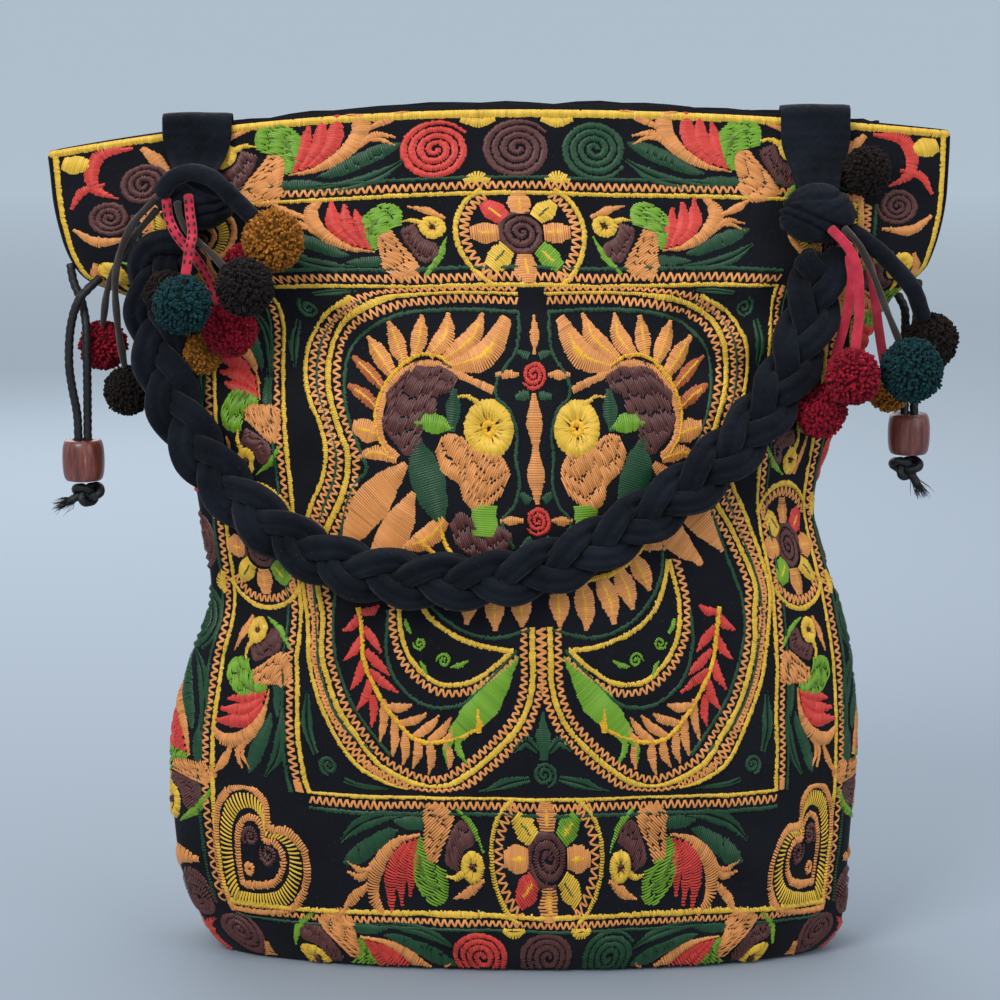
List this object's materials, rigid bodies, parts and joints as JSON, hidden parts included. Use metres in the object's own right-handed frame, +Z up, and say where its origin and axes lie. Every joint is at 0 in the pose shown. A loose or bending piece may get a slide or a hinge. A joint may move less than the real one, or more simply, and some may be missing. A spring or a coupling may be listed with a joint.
{
  "type": "embroidered cloth tote bag",
  "caption": "Soft cloth tote with embroidered panels, a braided cloth handle falling over the front, hanging wool pompoms and side drawstrings with wooden beads.",
  "frame": {"origin": "middle of the front view on the underside of the flat base, halfway between front and back", "axes": "+X to the right seen from the front, +Y to the back, +Z up"},
  "size_m": [0.4411, 0.1393, 0.4173],
  "materials": {
    "cloth": "plain cotton with satin machine embroidery",
    "lining": "plain cotton",
    "jersey": "napped cotton jersey",
    "suede_red": "suede",
    "suede_brown": "suede",
    "wool_teal": "cut wool",
    "wool_charcoal": "cut wool",
    "wool_ochre": "cut wool",
    "wool_crimson": "cut wool",
    "wool_brown": "cut wool",
    "drawcord": "twisted polyester cord",
    "bead_wood": "satin stained wood"
  },
  "bodies": {
    "root": {"front_panel": "cloth", "back_panel": "cloth", "base_panel": "cloth", "lining": "lining", "band_left": "jersey", "band_right": "jersey", "knot_left": "jersey", "knot_right": "jersey", "braid_strand_1": "jersey", "braid_strand_2": "jersey", "braid_strand_3": "jersey", "tail_left": "jersey", "tail_right": "jersey", "suede_left_teal": "suede_red", "suede_left_low": "suede_red", "suede_right_crimson": "suede_red", "suede_right_back": "suede_red", "suede_right_ochre": "suede_red", "cord_left_charcoal": "suede_brown", "cord_left_side_upper": "suede_brown", "cord_left_side_lower": "suede_brown", "cord_right_teal": "suede_brown", "pompom_left_teal": "wool_teal", "pompom_left_charcoal": "wool_charcoal", "pompom_left_ochre": "wool_ochre", "pompom_left_crimson_low": "wool_crimson", "pompom_left_crimson_back": "wool_crimson", "pompom_left_brown_back": "wool_brown", "pompom_left_ochre_low": "wool_ochre", "pompom_left_crimson_side": "wool_crimson", "pompom_left_brown_side": "wool_brown", "pompom_right_brown_top": "wool_brown", "pompom_right_brown_side": "wool_brown", "pompom_right_crimson": "wool_crimson", "pompom_right_teal": "wool_teal", "pompom_right_ochre": "wool_ochre", "pompom_right_crimson_back": "wool_crimson", "drawstring_left_front": "drawcord", "drawstring_left_back": "drawcord", "drawstring_right_front": "drawcord", "drawstring_right_back": "drawcord", "bead_left": "bead_wood", "bead_right": "bead_wood", "cord_knot_left": "drawcord", "cord_knot_right": "drawcord"}
  },
  "joints": []
}
